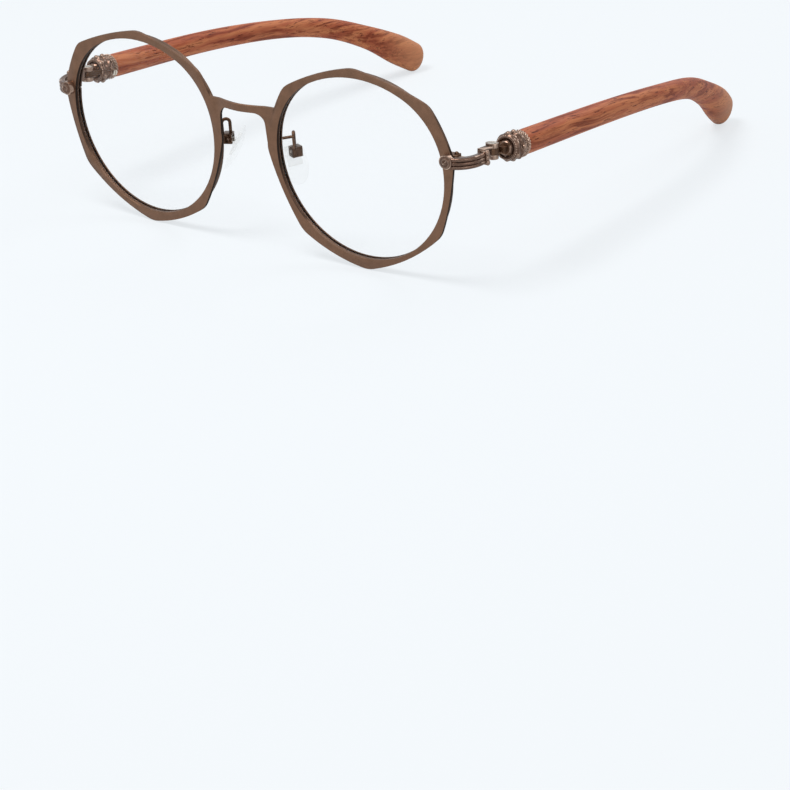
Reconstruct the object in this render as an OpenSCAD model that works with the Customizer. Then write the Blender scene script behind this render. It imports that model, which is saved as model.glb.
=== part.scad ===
// Octagonal full-rim eyeglasses with cast end pieces and wooden temples.
// Millimetres. +Z is up, the front faces -Y, and the pair stands on its rims and temple tips at Z = 0.
// Left is the wearer's left, on the +X side. Everything is drawn for the left side and mirrored for the right.

/* [Lens openings] */
// Width of one lens opening
opening_w = 49.2; // [47:0.1:53]
// Height of one lens opening
opening_h = 46.4; // [45:0.1:47.6]
// Radius of the flatter arc along the top of the opening
top_r = 30.5; // [28:0.5:34]
// Radius of the two arcs at its upper corners
upper_r = 19.7; // [18.5:0.1:21]
// Distance between the two openings across the nose
opening_gap = 20.5; // [19:0.1:24]
// Backward turn of each rim about its own centre, in degrees
wrap_angle = 2.5; // [0:0.5:6]

/* [Front plate] */
// Thickness of the stamped front plate
plate_t = 0.8; // [0.7:0.1:1.2]
// Directions of the eight rim corners from the lens centre, in degrees
corner_dir = [12, 42, 91, 139, 176, 225, 271, 329];
// How far each corner stands outside the opening
corner_reach = [3.3, 3.8, 2.4, 3.1, 3.0, 2.9, 2.8, 2.6];
// Outward bow of the side that follows each corner
side_bow = [0.7, 0.7, 0.9, 1.0, 0.9, 1.2, 1.7, 0.7];
// Length of rounding each side of a corner
corner_round = 1.6; // [0.4:0.1:2.5]

/* [Bridge] */
// Height of the bridge's top edge above the lens centres
bridge_top = 12.2; // [11:0.1:13]
// Height of the bridge bar
bridge_h = 1.8; // [1.6:0.1:2.4]
// Forward bow of the bridge
bridge_bow = 1.1; // [0.4:0.1:2]
// Fillet under each end of the bridge
bridge_fillet = 3.0; // [2:0.1:4]

/* [Eyewire and lens] */
// Radial width of the eyewire
eyewire_w = 1.15; // [1:0.05:1.3]
// Depth of the eyewire behind the plate
eyewire_d = 1.6; // [1.4:0.1:2.2]
// Radial depth of the groove that holds the lens
groove_r = 0.55; // [0.4:0.05:0.7]
// Width of the groove
groove_w = 0.7; // [0.6:0.05:0.8]
// Centre thickness of the lens
lens_t = 1.4; // [1.2:0.1:2]
// Radius of the lens's front surface
lens_curve_r = 220; // [180:5:300]
// Gap round the lens in its groove
lens_gap = 0.04; // [0.02:0.01:0.1]

/* [End piece] */
// Height of the end piece's centre above the lens centre
arm_z = 6.0; // [5.6:0.1:6.6]
// Distance from the opening's edge to the centre of the round head
head_out = 1.5; // [1:0.1:1.9]
// How far the round head stands above the arm's middle
head_lift = 0.4; // [0:0.1:0.6]
// Radius of the round head
head_r = 1.75; // [1.5:0.05:1.9]
// Distance from the opening's edge to the arm's outer face
arm_out = 7.8; // [7.3:0.1:8.8]
// Thickness of the arm
arm_t = 1.1; // [0.9:0.1:1.4]
// Distance from the arm's outer face inward to the hinge pin
pin_in = 1.2; // [1:0.1:1.4]
// Height of the arm
arm_h = 2.8; // [2.6:0.1:3.2]
// Outer radius of the bend
bend_r = 6.4; // [6:0.1:6.7]
// How far the arm's front run stands in front of the plate's face
arm_proud = 0.8; // [0.7:0.05:1]
// Radius of each of the three ribs
rib_r = 0.5; // [0.44:0.02:0.56]
// Distance between neighbouring ribs
rib_pitch = 0.95; // [0.9:0.01:1]
// Thickness of the pair of collars behind the ribs
collar_t = 0.4; // [0.35:0.05:0.5]

/* [Rim lock] */
// Height of the rim-lock block
lock_h = 3.0; // [2.8:0.1:3.6]
// Depth of the rim-lock block behind the plate
lock_d = 2.4; // [2.2:0.1:2.7]
// Radius of the rim-lock screw
lock_screw_r = 0.5; // [0.45:0.05:0.6]
// Width of the cut that lets the rim open
kerf = 0.25; // [0.15:0.05:0.4]

/* [Hinge] */
// Distance from the plate's face back to the hinge pin
hinge_y = 11.3; // [11:0.1:12]
// How far the hinge's middle lies below the arm's
hinge_low = 0.1; // [0:0.1:0.4]
// Downward slope of the temples against the front, in degrees
temple_drop = 6.8; // [6:0.2:9]
// Inward lean of an open temple from straight back, in degrees
temple_lean = 0; // [-1:0.5:2]
// Distance from the hinge pin outward to the temple's line
temple_out = 1.2; // [0.9:0.1:1.5]
// Radius of the hinge barrel
barrel_r = 1.6; // [1.4:0.1:1.8]
// Half height of the temple's own knuckle
knuckle_z = 0.7; // [0.6:0.1:0.9]
// Thickness of each of the end piece's two knuckles
lug_t = 1.1; // [1:0.1:1.4]
// Radius of the hinge screw's shank
hinge_screw_r = 0.6; // [0.5:0.05:0.7]
// Radial clearance of turning pieces on their screws
run_gap = 0.04; // [0.02:0.01:0.08]
// Clearance between faces that slide or swing past each other
face_gap = 0.12; // [0.08:0.01:0.2]

/* [Ferrule] */
// Distance from the hinge pin to the ferrule's mouth
ferrule_s = 3.8; // [3.5:0.1:4.1]
// Radius of the ferrule's mouth
mouth_r = 2.8; // [2.7:0.1:3]
// Radius of the ferrule's two beads
bead_r = 3.45; // [3.4:0.05:3.7]
// Radius of the ferrule between and behind its beads
waist_r = 3.1; // [3:0.05:3.2]
// Length of the ferrule
ferrule_l = 5.2; // [5:0.1:5.6]
// Radius of the cast knobs
knob_r = 0.8; // [0.6:0.05:0.9]
// Length of the rope ring behind the ferrule
rope_l = 1.0; // [0.9:0.1:1.4]
// Radius of the core wire
core_r = 0.8; // [0.6:0.1:1]
// Length of the core wire inside the wood
core_l = 40; // [30:1:45]

/* [Wooden temple] */
// Distance from the rope ring along the temple at each station
wood_s = [0, 39, 68, 87.5, 102, 113, 119.5];
// Height of the wood's centre line at each station
wood_h = [0, 0.3, -0.9, -3.4, -8.0, -13.0, -16.3];
// Outward offset of the wood's centre line at each station
wood_x = [0, -0.3, -2.1, -5.3, -8.7, -11.4, -13.2];
// Half height of the wood at each station
wood_rh = [3.1, 2.9, 2.7, 2.9, 3.4, 4.5, 4.4];
// Half thickness of the wood at each station
wood_rw = [3.0, 2.6, 2.35, 2.35, 2.5, 2.9, 2.9];
// Length of the rounded end
cap_l = 3.4; // [2.5:0.1:4.5]

/* [Nose pads] */
// Distance from the opening's nose edge outward to each pad box
box_out = 0.65; // [0.35:0.05:1.15]
// Distance from the plate's face back to each pad box
box_y = 5.2; // [4.8:0.1:5.6]
// Height of each pad box against the lens centres
box_z = -0.75; // [-1.2:0.05:-0.4]
// Outward turn of the pads towards the back, in degrees
pad_splay = 24; // [20:1:30]
// Lean of the pads' tops towards the nose, in degrees
pad_lean = 27; // [20:1:30]
// Height of a pad
pad_h = 13.2; // [12:0.2:14]
// Width of a pad
pad_w = 7.4; // [6.8:0.2:8]
// Thickness of a pad
pad_t = 1.9; // [1.6:0.1:2.2]
// How far the pad's middle hangs below its screw
pad_sink = 1.7; // [1.4:0.1:2.2]
// Height of the pad box
box_h = 2.6; // [2.4:0.1:3]
// Radius of the pad screw's shank
pad_screw_r = 0.35; // [0.3:0.05:0.4]
// Radius of the pad arm's wire
wire_r = 0.42; // [0.36:0.02:0.5]
// Radius of the loop over the pad box
loop_r = 1.05; // [0.95:0.05:1.15]
// Height of the loop's middle above the pad box
loop_rise = 2.7; // [2.2:0.1:3]
// Direction of the loop in plan, from the wire's own strand towards the nose, in degrees
loop_turn = 128; // [120:2:136]

/* [Hidden] */

bronze = "#6b4d3b";
dark_bronze = "#4a3528";
rosewood = "#b0694c";
bright_steel = "#d9d2c8";
clear = [0.86, 0.92, 0.93, 0.35];

seat = 0.02;
half_w = opening_w / 2;
half_h = opening_h / 2;
lens_x = half_w + opening_gap / 2;
round_steps = 96;
side_steps = 10;
fine = 48;

// The opening is made of a top arc, a lower arc and two upper corner arcs that meet both smoothly
top_z = half_h - top_r;
low_z = half_w - half_h;
arc_gap = low_z - top_z;
from_top = top_r - upper_r;
from_low = half_w - upper_r;
corner_drop = (pow(from_top, 2) - pow(from_low, 2) + pow(arc_gap, 2)) / (2 * arc_gap);
upper_at = [sqrt(pow(from_top, 2) - pow(corner_drop, 2)), top_z + corner_drop];
top_meet = [0, top_z] + (upper_at - [0, top_z]) * top_r / from_top;
low_meet = [0, low_z] + (upper_at - [0, low_z]) * half_w / from_low;

// Distance from the lens centre to the opening's edge in a direction
function to_arc(at, r, dir) =
    let (along = at[0] * cos(dir) + at[1] * sin(dir)) along + sqrt(along * along - at * at + r * r);
function opening_edge(dir) =
    let (fold = atan2(sin(dir), abs(cos(dir))))
    fold > atan2(top_meet[1], top_meet[0]) ? to_arc([0, top_z], top_r, fold) :
    fold > atan2(low_meet[1], low_meet[0]) ? to_arc(upper_at, upper_r, fold) : to_arc([0, low_z], half_w, fold);

// Centre and radius of the arc that faces a direction
function arc_facing(dir) =
    let (fold = atan2(sin(dir), abs(cos(dir))))
    fold > atan2(upper_at[1] - top_z, upper_at[0]) ? [0, top_z, top_r] :
    fold > atan2(upper_at[1] - low_z, upper_at[0]) ? [sign(cos(dir)) * upper_at[0], upper_at[1], upper_r] :
    [0, low_z, half_w];

// Corners of the rim outline, in the plane of the lens
corner_n = len(corner_dir);
corners = [for (i = [0 : corner_n - 1])
    (opening_edge(corner_dir[i]) + corner_reach[i]) * [cos(corner_dir[i]), sin(corner_dir[i])]];

// Point at share t along the bowed side that follows corner i
function side_point(i, t) =
    let (a = corners[i], b = corners[(i + 1) % corner_n], d = b - a, out = [d[1], -d[0]] / norm(d))
    a + t * d + out * 4 * side_bow[i] * t * (1 - t);
function side_share(i) = corner_round / norm(corners[(i + 1) % corner_n] - corners[i]);
function blend(a, b, c, t) = (1 - t) * (1 - t) * a + 2 * t * (1 - t) * b + t * t * c;
rim_outline = [for (i = [0 : corner_n - 1])
    let (s = side_share(i), before = (i + corner_n - 1) % corner_n, e = side_share(before))
    each concat(
        [for (k = [0 : 3]) blend(side_point(before, 1 - e), corners[i], side_point(i, s), k / 4)],
        [for (k = [0 : side_steps - 1]) side_point(i, s + (1 - 2 * s) * k / side_steps)])];

// The outline runs anticlockwise, so its lowest point sets how high the lens centres stand
lens_z = -min([for (p = rim_outline) p[1]]);

// Where the wood begins, measured from the hinge pin
wood_start = ferrule_s + ferrule_l + rope_l;

// Points between stations, one smooth curve through them all
function station(i) =
    let (j = min(max(i, 0), len(wood_s) - 1)) [wood_start + wood_s[j], wood_h[j], wood_x[j], wood_rh[j], wood_rw[j]];
function smooth(i, t) =
    let (a = station(i - 1), b = station(i), c = station(i + 1), d = station(i + 2))
    0.5 * (2 * b + (c - a) * t + (2 * a - 5 * b + 4 * c - d) * t * t + (3 * b - a - 3 * c + d) * t * t * t);
wood_steps = 6;
cap_steps = 6;
wood_sides = 24;
wood_last = len(wood_s) - 1;
wood_run = concat(
    [for (i = [0 : wood_last - 1], k = [0 : wood_steps - 1]) smooth(i, k / wood_steps)],
    [station(wood_last)]);
end_step = wood_run[len(wood_run) - 1] - wood_run[len(wood_run) - 2];
end_dir = [end_step[0], end_step[1], end_step[2]] / norm([end_step[0], end_step[1], end_step[2]]);
// The rounded end goes on along the last direction while its section shrinks
wood_cap = [for (k = [1 : cap_steps])
    let (turn = 88 * k / cap_steps, last = station(wood_last), go = cap_l * sin(turn))
    [last[0] + end_dir[0] * go, last[1] + end_dir[1] * go, last[2] + end_dir[2] * go,
        last[3] * cos(turn), last[4] * cos(turn)]];
wood_rings = concat(wood_run, wood_cap);
// Slope of the centre line at each ring, in the upright plane
function ring_slope(i) =
    let (n = len(wood_run) - 1, a = wood_run[max(min(i, n) - 1, 0)], b = wood_run[min(min(i, n) + 1, n)])
    i == 0 ? 0 : atan2(b[1] - a[1], b[0] - a[0]);
function ring_turn(i) =
    let (n = len(wood_run) - 1, a = wood_run[max(min(i, n) - 1, 0)], b = wood_run[min(min(i, n) + 1, n)])
    i == 0 ? 0 : atan2(b[2] - a[2], b[0] - a[0]);
// A rounded section, a little squarer than an ellipse
function squarish(v) = sign(v) * pow(abs(v), 0.92);
function ring_point(i, j) =
    let (r = wood_rings[i], a = 360 * j / wood_sides, up = r[3] * squarish(sin(a)), out = r[4] * squarish(cos(a)),
        slope = ring_slope(i), turn = ring_turn(i))
    [temple_out + r[2] + out * cos(turn), r[0] - up * sin(slope) - out * sin(turn), r[1] + up * cos(slope)];
wood_points = [for (i = [0 : len(wood_rings) - 1], j = [0 : wood_sides - 1]) ring_point(i, j)];

// Places of the frames, worked out once
inward = temple_lean - wrap_angle;
head_x = half_w + head_out;
arm_x = half_w + arm_out;
box_x = opening_gap / 2 + box_out;
pin_x = arm_x - pin_in;
hinge_z = arm_z - hinge_low;
eyewire_out = plate_t + eyewire_d;
screw_x = head_x + 1.8 * lock_screw_r;
screw_y = plate_t + 0.5 + lock_d / 2;
lock_x0 = half_w - 0.4;
lock_x1 = screw_x + lock_screw_r + 0.3;
// The arm's bend in plan, and where its straight run and its collars end
bend_x = arm_x - bend_r;
bend_y = bend_r - arm_proud;
run_x0 = min(head_x, bend_x - 0.2);
arm_end = hinge_y - 4.6;
collar_y = hinge_y - 5.3;
leaf_s = ferrule_s + 3.4;
screw_s = ferrule_s + ferrule_l - 0.85;
screw_low = -0.8;
// Pad box in its own frame: nose face, rear face, half width, wall above the tongue
box_x0 = -1.2;
box_x1 = 1.2;
box_half_w = 1.35;
box_roof = 0.45;
tongue_r = 0.6;
tongue_half_w = 0.6;
pad_pin_x = -0.3;
// Gap between the pad box and the back of the pad
pad_off = 0.75;
// Where the loop's nearer leg lands on the box
leg_at = [-0.65, 0.15];
// Core plate inside the pad
core_t = 0.7;
core_w = 3.8;
core_h = 5.2;
core_low = -3.45;
lug_top = knuckle_z + face_gap + lug_t;
lug_low = -lug_top;
// Screw details that all sizes share, and the flush hinge screw's head
head_t = 0.5;
slot_w = 0.3;
hinge_head_r = 1.8 * hinge_screw_r;
// Length of the end piece's web beside the lock block
web_l = 1.6;
// How far the collars stand out from the arm and its ribs
collar_up = 0.15;
// The pad arm's strand is drawn a little thinner than its loop, which it meets above the loop's middle
strand_r = wire_r - 0.05;
strand_up = 0.3;

// A point of the temple as depth and height from the middle of the front
function from_front(p) =
    let (x1 = p[0] * cos(inward) - p[1] * sin(inward), y1 = p[0] * sin(inward) + p[1] * cos(inward))
    [(x1 + pin_x) * sin(wrap_angle) + (y1 * cos(temple_drop) + p[2] * sin(temple_drop) + hinge_y) * cos(wrap_angle),
        -y1 * sin(temple_drop) + p[2] * cos(temple_drop) + hinge_z];
temple_side = [for (p = wood_points) from_front(p)];
// The whole pair leans forward until the temple tips stand at the same height as the rims
stand_lean = max([for (p = temple_side) atan2(-p[1] - lens_z, p[0])]);
// The furthest points to the front and to the back set the origin midway between them
nose_x = opening_gap / 2 - corner_reach[4];
nose_y = -(lens_x - nose_x) * sin(wrap_angle);
front_y = (nose_y - bridge_bow) * cos(stand_lean) - bridge_top * sin(stand_lean);
rear_y = max([for (p = temple_side) p[0] * cos(stand_lean) - p[1] * sin(stand_lean)]);
origin_y = (front_y + rear_y) / 2;

// Children drawn for the left are mirrored for the right
module on_side(side) {
    translate([0, -origin_y, lens_z * cos(stand_lean)]) rotate([stand_lean, 0, 0])
        mirror([side < 0 ? 1 : 0, 0, 0])
            children();
}

// A point of the drawing frame where it stands, and the places of the turning axes
function stood(p) = [p[0], p[1] * cos(stand_lean) - p[2] * sin(stand_lean) - origin_y,
    p[1] * sin(stand_lean) + (p[2] + lens_z) * cos(stand_lean)];
echo(lens_z = lens_z, stand_lean = stand_lean, front_y = front_y, rear_y = rear_y, origin_y = origin_y);
echo(pin = stood([lens_x + pin_x * cos(wrap_angle) - hinge_y * sin(wrap_angle),
    pin_x * sin(wrap_angle) + hinge_y * cos(wrap_angle), hinge_z]));
echo(pad_pin = stood([box_x + pad_pin_x * cos(pad_splay), box_y - pad_pin_x * sin(pad_splay), box_z]));

// Origin at the lens centre on the plate's face, +X outward
module lens_frame() {
    translate([lens_x, 0, 0]) rotate([0, 0, wrap_angle]) children();
}

// Origin at the hinge pin, +Y along the temple when it is straight behind the rim
module hinge_frame() {
    lens_frame() translate([pin_x, hinge_y, hinge_z]) rotate([-temple_drop, 0, 0]) children();
}

// The same, turned to the temple's open direction
module temple_frame() {
    hinge_frame() rotate([0, 0, inward]) children();
}

// Origin on the temple's own line, beside the pin
module temple_line() {
    temple_frame() translate([temple_out, 0, 0]) children();
}

// Origin in the middle of the pad box, -X towards the nose
module box_frame() {
    translate([box_x, box_y, box_z]) rotate([0, 0, -pad_splay]) children();
}
module pad_frame() {
    box_frame() translate([pad_pin_x, 0, 0]) rotate([0, -pad_lean, 0]) translate([-pad_pin_x, 0, 0]) children();
}

// An outline in the plane of the lens, made solid from y0 back by depth
module upright(y0, depth) {
    translate([0, y0 + depth, 0]) rotate([90, 0, 0]) linear_extrude(depth) children();
}

// Nearly round opening, point by point in the direction that its edge faces there
module oval(grow) {
    polygon([for (k = [0 : round_steps - 1])
        let (dir = 360 * (k + 0.5) / round_steps, arc = arc_facing(dir))
        [arc[0] + (arc[2] + grow) * cos(dir), arc[1] + (arc[2] + grow) * sin(dir)]]);
}

module front_plate() {
    color(bronze) union() {
        for (side = [-1, 1]) on_side(side) lens_frame()
            upright(0, plate_t) difference() {
                polygon(rim_outline);
                oval(0);
            }
        on_side(1) bridge();
    }
}

// The bar between the rims: its face shape and its bowed plan, both true at once
module bridge() {
    reach = nose_x + 3.2;
    low = bridge_top - bridge_h;
    fillet = [for (k = [0 : 6]) [nose_x - bridge_fillet + bridge_fillet * sin(15 * k),
        low - bridge_fillet + bridge_fillet * cos(15 * k)]];
    half = concat([[0, bridge_top], [0, low]], fillet,
        [[nose_x + 0.25, 3.2], [nose_x + 1.5, 3.2], [reach, bridge_top - 3], [reach, bridge_top]]);
    front_edge = [for (k = [-12 : 12]) let (x = reach * k / 12)
        [x, nose_y + (abs(x) - nose_x) * sin(wrap_angle) - bridge_bow * max(0, 1 - pow(x / nose_x, 2))]];
    back_edge = [for (k = [12 : -1 : -12]) let (x = reach * k / 12)
        [x, plate_t + nose_y + (abs(x) - nose_x) * sin(wrap_angle) - bridge_bow * max(0, 1 - pow(x / nose_x, 2))]];
    intersection() {
        upright(-lens_x, 2 * lens_x) union() {
            polygon(half);
            mirror([1, 0]) polygon(half);
        }
        translate([0, 0, -half_h]) linear_extrude(2 * half_h) polygon(concat(front_edge, back_edge));
    }
}

module eyewire(side) {
    color(dark_bronze) on_side(side) lens_frame() difference() {
        upright(plate_t + seat, eyewire_d - seat) oval(eyewire_w);
        upright(plate_t - 1, eyewire_d + 2) oval(0);
        upright(plate_t + (eyewire_d - groove_w) / 2, groove_w) oval(groove_r);
        translate([half_w - eyewire_w, 0, arm_z - kerf / 2]) cube([3 * eyewire_w, 2 * eyewire_out, kerf]);
    }
}

// A curved disc whose bevel sits in the eyewire's groove
module lens(side) {
    edge_y = plate_t + eyewire_d / 2;
    sag = lens_curve_r - sqrt(pow(lens_curve_r, 2) - pow(half_w, 2));
    apex_y = edge_y - lens_t / 2 - sag;
    color(clear) on_side(side) lens_frame() union() {
        intersection() {
            upright(-4, 12) oval(-lens_gap);
            difference() {
                translate([0, apex_y + lens_curve_r, 0]) sphere(lens_curve_r, $fn = 240);
                translate([0, apex_y + lens_curve_r + lens_t, 0]) sphere(lens_curve_r, $fn = 240);
            }
        }
        upright(edge_y - groove_w / 2 + lens_gap, groove_w - 2 * lens_gap) difference() {
            oval(groove_r - lens_gap);
            oval(-1.2);
        }
    }
}

module rim_lock(side) {
    color(dark_bronze) on_side(side) lens_frame() difference() {
        translate([lock_x0, plate_t + seat, arm_z - lock_h / 2]) cube([lock_x1 - lock_x0, lock_d, lock_h]);
        upright(plate_t - 1, eyewire_d + 4) oval(eyewire_w + seat);
        translate([lock_x0, 0, arm_z - kerf / 2]) cube([screw_x - lock_x0, 2 * lock_d, kerf]);
        translate([screw_x, screw_y, arm_z - lock_h]) cylinder(r = lock_screw_r + seat, h = 2 * lock_h, $fn = fine);
    }
}

// Screws that close the two rims: slotted head below, domed end above
module rim_lock_screws() {
    color(dark_bronze) for (side = [-1, 1]) on_side(side) lens_frame()
        translate([screw_x, screw_y, arm_z]) difference() {
            union() {
                translate([0, 0, -lock_h / 2 - head_t]) cylinder(r = lock_screw_r, h = lock_h + 1.5 * head_t, $fn = fine);
                translate([0, 0, -lock_h / 2 - head_t - seat]) cylinder(r = 1.75 * lock_screw_r, h = head_t, $fn = fine);
                intersection() {
                    translate([0, 0, lock_h / 2]) sphere(1.1 * lock_screw_r, $fn = fine);
                    translate([-lock_h, -lock_h, lock_h / 2 + seat]) cube(2 * lock_h);
                }
            }
            translate([-lock_h, -slot_w / 2, -lock_h / 2 - 2 * head_t]) cube([2 * lock_h, slot_w, 1.5 * head_t]);
        }
}

// A strip in plan that runs outward, bends and runs back; r0 and r1 are its distances from the bend's centre
module arm_plan(r0, r1) {
    translate([run_x0, bend_y - r1]) square([bend_x - run_x0, r1 - r0]);
    intersection() {
        translate([bend_x, bend_y]) difference() {
            circle(r = r1, $fn = fine);
            circle(r = r0, $fn = fine);
        }
        translate([bend_x, bend_y - 2 * r1]) square(2 * r1);
    }
    translate([bend_x + r0, bend_y]) square([r1 - r0, arm_end - bend_y]);
}

// A round rod along the same route, centred on the arm's outer face
module arm_rib(z) {
    translate([bend_x, bend_y, z]) {
        translate([0, -bend_r, 0]) rotate([0, -90, 0]) cylinder(r = rib_r, h = bend_x - run_x0, $fn = fine);
        rotate([0, 0, -90]) rotate_extrude(angle = 90, $fn = fine) translate([bend_r, 0]) circle(r = rib_r, $fn = fine);
        translate([bend_r, 0, 0]) rotate([-90, 0, 0]) cylinder(r = rib_r, h = arm_end - bend_y, $fn = fine);
    }
}

module end_piece(side) {
    color(bronze) on_side(side) lens_frame() difference() {
        union() {
            translate([0, 0, arm_z - arm_h / 2]) linear_extrude(arm_h) arm_plan(bend_r - arm_t, bend_r);
            for (k = [-1 : 1]) arm_rib(arm_z + k * rib_pitch);
            // Round head on the plate's face
            translate([head_x, -seat, arm_z + head_lift]) rotate([90, 0, 0])
                cylinder(r = head_r, h = arm_proud + 0.5, $fn = fine);
            // Web that meets the lock block's outer side
            translate([lock_x1, plate_t, arm_z - arm_h / 2 + 0.3]) cube([web_l, lock_d - 0.6, arm_h - 0.6]);
            // Two collars with a groove between them
            for (k = [0, 1]) translate([arm_x - arm_t - collar_up, collar_y + k * (collar_t + 0.2), arm_z - arm_h / 2 - 0.3])
                cube([arm_t + rib_r + 2 * collar_up, collar_t, arm_h + 0.6]);
            // Knuckles either side of the temple's own
            translate([pin_x, hinge_y, hinge_z]) rotate([-temple_drop, 0, 0]) {
                translate([-0.95, -5, lug_low + 0.5]) cube([1.9, 5, lug_top - lug_low - 1]);
                translate([0, 0, lug_low]) cylinder(r = barrel_r, h = lug_top - lug_low, $fn = fine);
            }
        }
        // Room behind the front run for the plate's corner and the lock block
        translate([0, -seat, arm_z - arm_h]) cube([lock_x1 + seat, plate_t + lock_d + 3 * seat, 2 * arm_h]);
        translate([pin_x, hinge_y, hinge_z]) rotate([-temple_drop, 0, 0]) {
            translate([0, 0, -knuckle_z - face_gap])
                cylinder(r = barrel_r + face_gap + 0.2, h = 2 * (knuckle_z + face_gap), $fn = fine);
            translate([-2 * barrel_r, 0, -knuckle_z - face_gap]) cube([4 * barrel_r, 2 * barrel_r, 2 * (knuckle_z + face_gap)]);
            translate([0, 0, 2 * lug_low]) cylinder(r = hinge_screw_r + seat, h = 4 * lug_top, $fn = fine);
            translate([0, 0, lug_top - head_t]) cylinder(r = hinge_head_r + seat, h = 2 * head_t, $fn = fine);
        }
    }
}

// Screws that the temples turn on: the head is sunk in the upper knuckle
module hinge_screws() {
    color(bright_steel) for (side = [-1, 1]) on_side(side) hinge_frame() difference() {
        union() {
            translate([0, 0, lug_low]) cylinder(r = hinge_screw_r, h = 2 * lug_top - head_t / 2, $fn = fine);
            translate([0, 0, lug_top - head_t + seat]) cylinder(r = hinge_head_r, h = head_t, $fn = fine);
        }
        translate([-barrel_r, -slot_w / 2, lug_top - head_t / 2]) cube([2 * barrel_r, slot_w, head_t]);
    }
}

// The temple's knuckle and the tongue that is held in the ferrule
module hinge_leaf(side) {
    color(dark_bronze) on_side(side) temple_frame() difference() {
        union() {
            translate([0, 0, -knuckle_z]) cylinder(r = barrel_r, h = 2 * knuckle_z, $fn = fine);
            translate([-barrel_r, 0, -knuckle_z]) cube([barrel_r + 0.6, 2.4, 2 * knuckle_z]);
            translate([-barrel_r, 2, -knuckle_z]) cube([barrel_r + temple_out + 0.8, leaf_s - 2, 2 * knuckle_z]);
            translate([temple_out - 1.5, ferrule_s - 0.4, -1.5]) cube([3, leaf_s - ferrule_s + 0.4, 3]);
        }
        translate([0, 0, -5]) cylinder(r = hinge_screw_r + run_gap, h = 10, $fn = fine);
    }
}

// Cast sleeve between the hinge and the wood, turned about the temple's line
module ferrule(side) {
    s1 = ferrule_s + ferrule_l;
    bead_s = ferrule_s + 3.4;
    color(bronze) on_side(side) temple_line() difference() {
        union() {
            rotate([-90, 0, 0]) rotate_extrude($fn = fine) polygon([
                [0, ferrule_s], [mouth_r, ferrule_s], [mouth_r + 0.2, ferrule_s + 0.5],
                [bead_r, ferrule_s + 0.9], [bead_r, ferrule_s + 1.4], [waist_r, ferrule_s + 1.8],
                [waist_r + 0.1, bead_s - 0.7], [bead_r, bead_s - 0.3], [bead_r, bead_s + 0.3],
                [waist_r, bead_s + 0.7], [waist_r - 0.1, s1], [0, s1]]);
            translate([0, ferrule_s + 1.15, bead_r - 0.3]) sphere(knob_r, $fn = fine);
            for (turn = [0, 90, 180]) rotate([0, turn, 0])
                translate([0, bead_s, bead_r - 0.3]) sphere(knob_r, $fn = fine);
            // Boss of the small screw on the inner side
            translate([-waist_r + 1, screw_s, screw_low]) rotate([0, -90, 0]) cylinder(r = 0.85, h = 1.2, $fn = fine);
        }
        // Mouth round the tongue
        translate([-1.5 - seat, ferrule_s - 1, -1.5 - seat]) cube([3 + 2 * seat, leaf_s - ferrule_s + 1 + seat, 3 + 2 * seat]);
        translate([-barrel_r - temple_out - seat, ferrule_s - 1, -knuckle_z - seat])
            cube([2 * barrel_r, leaf_s - ferrule_s + 1 + seat, 2 * (knuckle_z + seat)]);
        rotate([-90, 0, 0]) translate([0, 0, ferrule_s - 1]) cylinder(r = mouth_r - 0.5, h = 2, $fn = fine);
        // Socket of the core wire
        rotate([-90, 0, 0]) translate([0, 0, leaf_s]) cylinder(r = core_r + seat, h = s1, $fn = fine);
        // Thread of the small screw
        translate([0, screw_s, screw_low]) rotate([0, -90, 0]) cylinder(r = 0.45 + seat, h = 8, $fn = fine);
    }
}

module ferrule_screw(side) {
    color(bright_steel) on_side(side) temple_line() translate([-waist_r - 0.2, screw_s, screw_low]) difference() {
        union() {
            translate([-seat, 0, 0]) rotate([0, 90, 0]) cylinder(r = 0.45, h = 1.9, $fn = fine);
            rotate([0, -90, 0]) translate([0, 0, seat]) cylinder(r = 0.75, h = 0.5, $fn = fine);
        }
        translate([-0.7, -0.12, -1]) cube([0.35, 0.24, 2]);
    }
}

// Ring between two thin lips that covers the joint of ferrule and wood
module rope_ring(side) {
    s0 = ferrule_s + ferrule_l + seat;
    s2 = wood_start - seat;
    color(bronze) on_side(side) temple_line() rotate([-90, 0, 0]) rotate_extrude($fn = fine) polygon([
        [core_r + seat, s0], [waist_r, s0], [waist_r + 0.25, s0 + 0.3],
        [waist_r + 0.25, s2 - 0.3], [waist_r, s2], [core_r + seat, s2]]);
}

module core_wire(side) {
    color(bright_steel) on_side(side) temple_line() rotate([-90, 0, 0])
        translate([0, 0, leaf_s + seat]) cylinder(r = core_r, h = wood_start + core_l - leaf_s, $fn = fine);
}

// The wood: one skin through all the rings, closed at both ends and bored for the core wire
module wooden_temple(side) {
    n = wood_sides;
    rings = len(wood_rings);
    skin = [for (i = [0 : rings - 2], j = [0 : n - 1])
        let (a = i * n + j, b = i * n + (j + 1) % n) each [[a, b, b + n], [a, b + n, a + n]]];
    ends = [[for (j = [n - 1 : -1 : 0]) j], [for (j = [0 : n - 1]) (rings - 1) * n + j]];
    color(rosewood) on_side(side) temple_frame() difference() {
        polyhedron(wood_points, concat(skin, ends), convexity = 4);
        translate([temple_out, wood_start - 1, 0]) rotate([-90, 0, 0])
            cylinder(r = core_r + seat, h = core_l + 1 + seat, $fn = fine);
    }
}

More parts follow.
